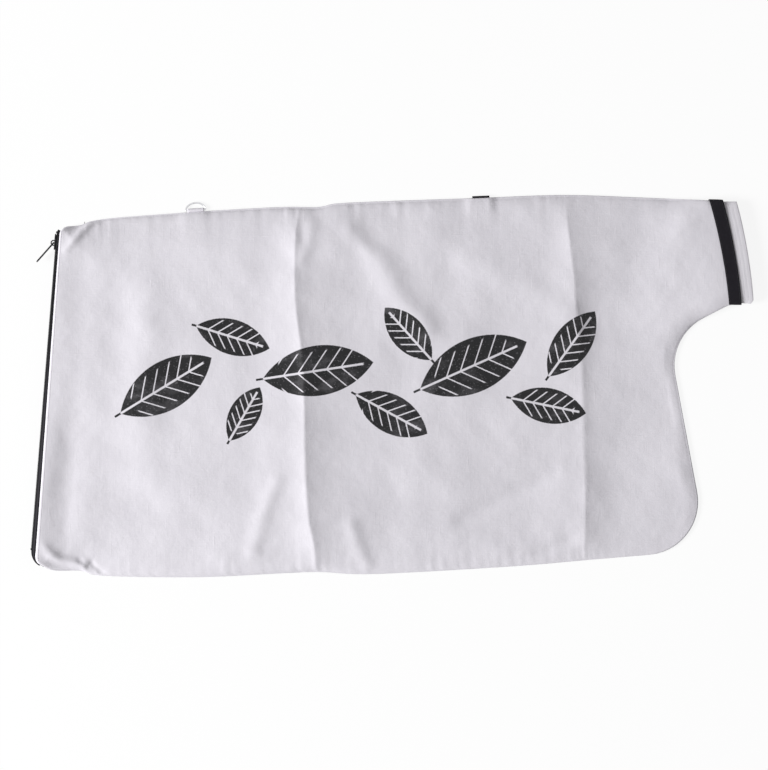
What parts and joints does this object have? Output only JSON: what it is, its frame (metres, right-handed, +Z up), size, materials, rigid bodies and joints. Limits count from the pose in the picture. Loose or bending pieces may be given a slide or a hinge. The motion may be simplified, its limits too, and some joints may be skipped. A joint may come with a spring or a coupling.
{
  "type": "blower vacuum collection bag",
  "caption": "Empty cloth collection bag for a garden blower vacuum, lying flat, with a zip across one end, a strapped neck at one corner and a hanging ring in the long seam.",
  "frame": {"origin": "on the flat resting face of the back panel, near the middle of the bag", "axes": "+X along the bag's length from the zip to the neck, +Y across it towards the seam with the ring, +Z up from the resting face"},
  "size_m": [0.8662, 0.4536, 0.0168],
  "materials": {
    "white_cloth": "fine plain weave with a slight sheen",
    "black_webbing": "woven webbing, matt",
    "black_tape": "woven zip tape, matt",
    "black_resin": "moulded, satin",
    "black_metal": "coated, satin",
    "bright_wire": "plated, polished"
  },
  "bodies": {
    "bag": {"front_panel": "white_cloth", "back_panel": "white_cloth", "neck_cuff": "white_cloth", "d_ring_tab": "white_cloth", "neck_strap": "black_webbing", "webbing_loop": "black_webbing", "zip_tape_upper": "black_tape", "zip_tape_lower": "black_tape", "zip_teeth_upper": "black_resin", "zip_teeth_lower": "black_resin", "zip_bottom_stop": "black_resin", "zip_top_stop_upper": "black_resin", "zip_top_stop_lower": "black_resin"},
    "zip_slider": {"zip_slider": "black_metal"},
    "zip_pull": {"zip_pull": "black_metal"},
    "d_ring": {"d_ring": "bright_wire"}
  },
  "joints": [
    {"name": "zip_slider_travel", "type": "slide", "parent": "bag", "child": "zip_slider", "axis": [-0.0802, -0.9968, 0], "range_m": [0, 0.357], "deforming": ["zip_teeth_upper", "zip_teeth_lower"]},
    {"name": "zip_pull_swing", "type": "hinge", "parent": "zip_slider", "child": "zip_pull", "pos_m": [-0.40484, 0.17107, 0.0084], "axis": [0, 0, 1], "range_deg": [-139, 34]},
    {"name": "d_ring_swing", "type": "hinge", "parent": "bag", "child": "d_ring", "pos_m": [-0.23618, 0.21075, 0.0026], "axis": [0.9978, 0.0664, 0], "range_deg": [0, 110]}
  ]
}
